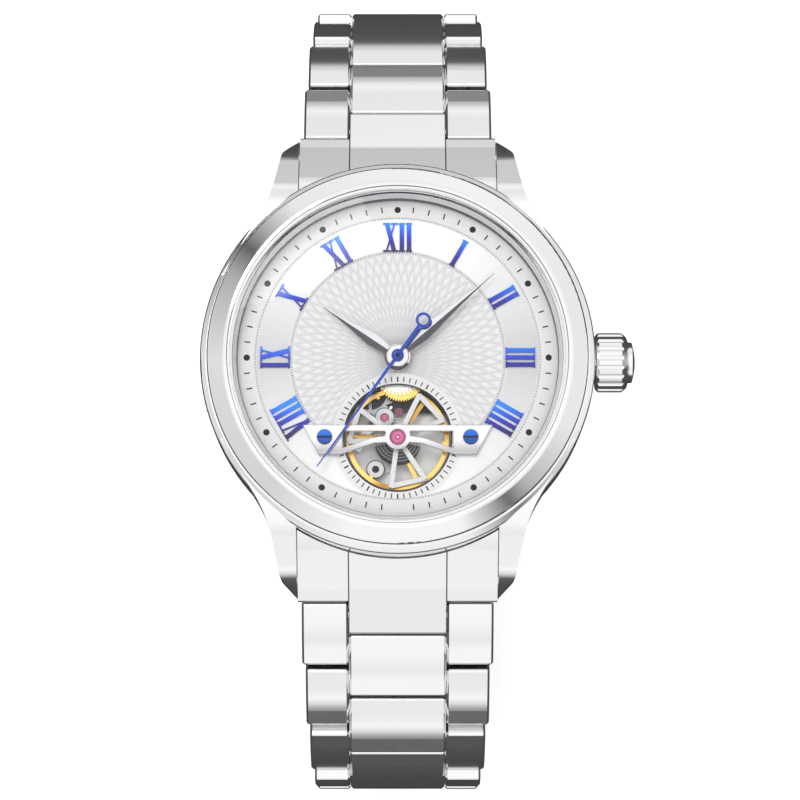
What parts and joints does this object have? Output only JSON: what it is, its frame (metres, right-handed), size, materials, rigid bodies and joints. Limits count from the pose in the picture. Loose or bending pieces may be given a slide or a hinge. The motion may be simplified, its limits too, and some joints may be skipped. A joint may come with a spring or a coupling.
{
  "type": "bracelet wristwatch",
  "caption": "Round wristwatch with an open balance in the dial, blue hour numerals, a fluted crown and a closed three-row steel link bracelet with a folding clasp.",
  "frame": {"origin": "centre of the case back's flat outer face", "axes": "+Z out through the dial, +Y towards 12 o'clock, +X towards the crown"},
  "size_m": [0.0435, 0.0834, 0.0509],
  "materials": {
    "steel": "satin and polished",
    "polished_steel": "mirror polish",
    "sapphire": "clear",
    "seal": "matt",
    "dial_white": "silvery white",
    "blued_steel": "heat blued",
    "gilt": "gilt",
    "plate": "circular grained",
    "ruby": "polished",
    "spring_steel": "bright",
    "white_cage": "satin white"
  },
  "bodies": {
    "case": {"case_middle": "steel", "bezel": "polished_steel", "crystal": "sapphire", "gaskets": "seal", "case_back": "steel", "back_glass": "sapphire", "dial": "dial_white", "flange_ring": "steel", "hour_numerals": "blued_steel", "main_plate": "plate", "train_bridge": "plate", "balance_bridge": "polished_steel", "movement_screws": "blued_steel", "jewels": "ruby", "pallet_bridge": "plate", "regulator": "white_cage", "end_link_upper": "steel", "end_link_lower": "steel"},
    "crown_stem": {"crown": "polished_steel", "winding_stem": "steel"},
    "lever": {"setting_lever": "steel"},
    "seconds": {"seconds_hand": "blued_steel", "fourth_wheel": "gilt"},
    "third": {"third_wheel": "gilt"},
    "minutes": {"minute_hand": "polished_steel", "cannon_pinion": "steel", "centre_wheel": "gilt"},
    "motion_work": {"minute_wheel": "gilt"},
    "hours": {"hour_hand": "polished_steel", "hour_wheel": "gilt"},
    "barrel": {"barrel": "gilt", "mainspring": "spring_steel"},
    "escape": {"escape_wheel": "spring_steel"},
    "fork": {"pallet_fork": "steel"},
    "balance": {"balance_wheel": "gilt", "balance_cage": "white_cage", "hairspring": "spring_steel"},
    "rotor": {"rotor": "steel"},
    "cover": {"clasp_cover": "steel"},
    "middle_blade": {"clasp_middle_blade": "steel"},
    "inner_blade": {"clasp_inner_blade": "steel"},
    "pusher_left": {"clasp_pusher_left": "steel"},
    "pusher_right": {"clasp_pusher_right": "steel"},
    "upper_1": {"link_upper_1": "steel"},
    "upper_2": {"link_upper_2": "steel"},
    "upper_3": {"link_upper_3": "steel"},
    "upper_4": {"link_upper_4": "steel"},
    "upper_5": {"link_upper_5": "steel"},
    "upper_6": {"link_upper_6": "steel"},
    "upper_7": {"link_upper_7": "steel"},
    "upper_8": {"link_upper_8": "steel"},
    "lower_1": {"link_lower_1": "steel"},
    "lower_2": {"link_lower_2": "steel"},
    "lower_3": {"link_lower_3": "steel"},
    "lower_4": {"link_lower_4": "steel"},
    "lower_5": {"link_lower_5": "steel"},
    "lower_6": {"link_lower_6": "steel"},
    "lower_7": {"link_lower_7": "steel"},
    "lower_8": {"link_lower_8": "steel"}
  },
  "joints": [
    {"name": "upper_link_1_hinge", "type": "hinge", "parent": "case", "child": "upper_1", "pos_m": [0, 0.02489, -0.0004], "axis": [1, 0, 0], "range_deg": [0, 10.5]},
    {"name": "upper_link_2_hinge", "type": "hinge", "parent": "upper_1", "child": "upper_2", "pos_m": [0, 0.03101, -0.00359], "axis": [1, 0, 0], "range_deg": [0, 10.5]},
    {"name": "upper_link_3_hinge", "type": "hinge", "parent": "upper_2", "child": "upper_3", "pos_m": [0, 0.03645, -0.00783], "axis": [1, 0, 0], "range_deg": [0, 22]},
    {"name": "upper_link_4_hinge", "type": "hinge", "parent": "upper_3", "child": "upper_4", "pos_m": [0, 0.0399, -0.01381], "axis": [1, 0, 0], "range_deg": [0, 28]},
    {"name": "upper_link_5_hinge", "type": "hinge", "parent": "upper_4", "child": "upper_5", "pos_m": [0, 0.04014, -0.02071], "axis": [1, 0, 0], "range_deg": [0, 18]},
    {"name": "upper_link_6_hinge", "type": "hinge", "parent": "upper_5", "child": "upper_6", "pos_m": [0, 0.03824, -0.02734], "axis": [1, 0, 0], "range_deg": [0, 23]},
    {"name": "upper_link_7_hinge", "type": "hinge", "parent": "upper_6", "child": "upper_7", "pos_m": [0, 0.03389, -0.0327], "axis": [1, 0, 0], "range_deg": [0, 22]},
    {"name": "upper_link_8_hinge", "type": "hinge", "parent": "upper_7", "child": "upper_8", "pos_m": [0, 0.02786, -0.03605], "axis": [1, 0, 0], "range_deg": [0, 20]},
    {"name": "lower_link_1_hinge", "type": "hinge", "parent": "case", "child": "lower_1", "pos_m": [0, -0.02489, -0.0004], "axis": [1, 0, 0], "range_deg": [-10.5, 0]},
    {"name": "lower_link_2_hinge", "type": "hinge", "parent": "lower_1", "child": "lower_2", "pos_m": [0, -0.03101, -0.00359], "axis": [1, 0, 0], "range_deg": [-10.5, 0]},
    {"name": "lower_link_3_hinge", "type": "hinge", "parent": "lower_2", "child": "lower_3", "pos_m": [0, -0.03645, -0.00783], "axis": [1, 0, 0], "range_deg": [-22, 0]},
    {"name": "lower_link_4_hinge", "type": "hinge", "parent": "lower_3", "child": "lower_4", "pos_m": [0, -0.0399, -0.01381], "axis": [1, 0, 0], "range_deg": [-28, 0]},
    {"name": "lower_link_5_hinge", "type": "hinge", "parent": "lower_4", "child": "lower_5", "pos_m": [0, -0.04014, -0.02071], "axis": [1, 0, 0], "range_deg": [-18, 0]},
    {"name": "lower_link_6_hinge", "type": "hinge", "parent": "lower_5", "child": "lower_6", "pos_m": [0, -0.03824, -0.02734], "axis": [1, 0, 0], "range_deg": [-23, 0]},
    {"name": "lower_link_7_hinge", "type": "hinge", "parent": "lower_6", "child": "lower_7", "pos_m": [0, -0.03389, -0.0327], "axis": [1, 0, 0], "range_deg": [-22, 0]},
    {"name": "lower_link_8_hinge", "type": "hinge", "parent": "lower_7", "child": "lower_8", "pos_m": [0, -0.02786, -0.03605], "axis": [1, 0, 0], "range_deg": [-20, 0]},
    {"name": "clasp_cover_hinge", "type": "hinge", "parent": "upper_8", "child": "cover", "pos_m": [0, 0.02104, -0.03713], "axis": [1, 0, 0], "range_deg": [0, 55]},
    {"name": "clasp_fold", "type": "hinge", "parent": "cover", "child": "middle_blade", "pos_m": [0, -0.01484, -0.03718], "axis": [1, 0, 0], "range_deg": [0, 75]},
    {"name": "clasp_knee", "type": "hinge", "parent": "middle_blade", "child": "inner_blade", "pos_m": [0, 0.01424, -0.03723], "axis": [1, 0, 0], "range_deg": [-75, 0]},
    {"name": "pusher_right_press", "type": "slide", "parent": "cover", "child": "pusher_right", "axis": [-1, 0, 0], "range_m": [0, 0.0005], "stiffness_N_per_m": 300},
    {"name": "pusher_left_press", "type": "slide", "parent": "cover", "child": "pusher_left", "axis": [1, 0, 0], "range_m": [0, 0.0005], "stiffness_N_per_m": 300},
    {"name": "crown_pull", "type": "slide", "parent": "case", "child": "lever", "axis": [1, 0, 0], "range_m": [0, 0.0012]},
    {"name": "crown_turn", "type": "hinge", "parent": "lever", "child": "crown_stem", "pos_m": [0.02, 0, 0.0045], "axis": [1, 0, 0], "continuous": true},
    {"name": "seconds_turn", "type": "hinge", "parent": "case", "child": "seconds", "pos_m": [0, 0, 0.009], "axis": [0, 0, -1], "continuous": true},
    {"name": "minutes_turn", "type": "hinge", "parent": "case", "child": "minutes", "pos_m": [0, 0, 0.0087], "axis": [0, 0, -1], "continuous": true},
    {"name": "hours_turn", "type": "hinge", "parent": "case", "child": "hours", "pos_m": [0, 0, 0.0084], "axis": [0, 0, -1], "continuous": true},
    {"name": "third_turn", "type": "hinge", "parent": "case", "child": "third", "pos_m": [0.00345, 0.00289, 0.004], "axis": [0, 0, -1], "continuous": true},
    {"name": "barrel_turn", "type": "hinge", "parent": "case", "child": "barrel", "pos_m": [-0.00361, 0.00516, 0.005], "axis": [0, 0, -1], "continuous": true},
    {"name": "escape_turn", "type": "hinge", "parent": "case", "child": "escape", "pos_m": [-0.00275, -0.0033, 0.0054], "axis": [0, 0, -1], "continuous": true},
    {"name": "motion_work_turn", "type": "hinge", "parent": "case", "child": "motion_work", "pos_m": [-0.00249, 0.00144, 0.0064], "axis": [0, 0, -1], "continuous": true},
    {"name": "fork_swing", "type": "hinge", "parent": "case", "child": "fork", "pos_m": [-0.0013, -0.0058, 0.0054], "axis": [0, 0, 1], "range_deg": [-5, 5]},
    {"name": "balance_swing", "type": "hinge", "parent": "case", "child": "balance", "pos_m": [0, -0.00805, 0.0063], "axis": [0, 0, 1], "range_deg": [-270, 270], "stiffness_Nm_per_rad": 0.0000008},
    {"name": "rotor_turn", "type": "hinge", "parent": "case", "child": "rotor", "pos_m": [0, 0, 0.0023], "axis": [0, 0, 1], "continuous": true}
  ],
  "couplings": [
    {"joint": "minutes_turn", "follows": "seconds_turn", "ratio": 0.016667},
    {"joint": "hours_turn", "follows": "seconds_turn", "ratio": 0.0013889},
    {"joint": "third_turn", "follows": "seconds_turn", "ratio": -0.13333},
    {"joint": "barrel_turn", "follows": "seconds_turn", "ratio": -0.0020833},
    {"joint": "escape_turn", "follows": "seconds_turn", "ratio": -9},
    {"joint": "motion_work_turn", "follows": "seconds_turn", "ratio": -0.0055556}
  ]
}
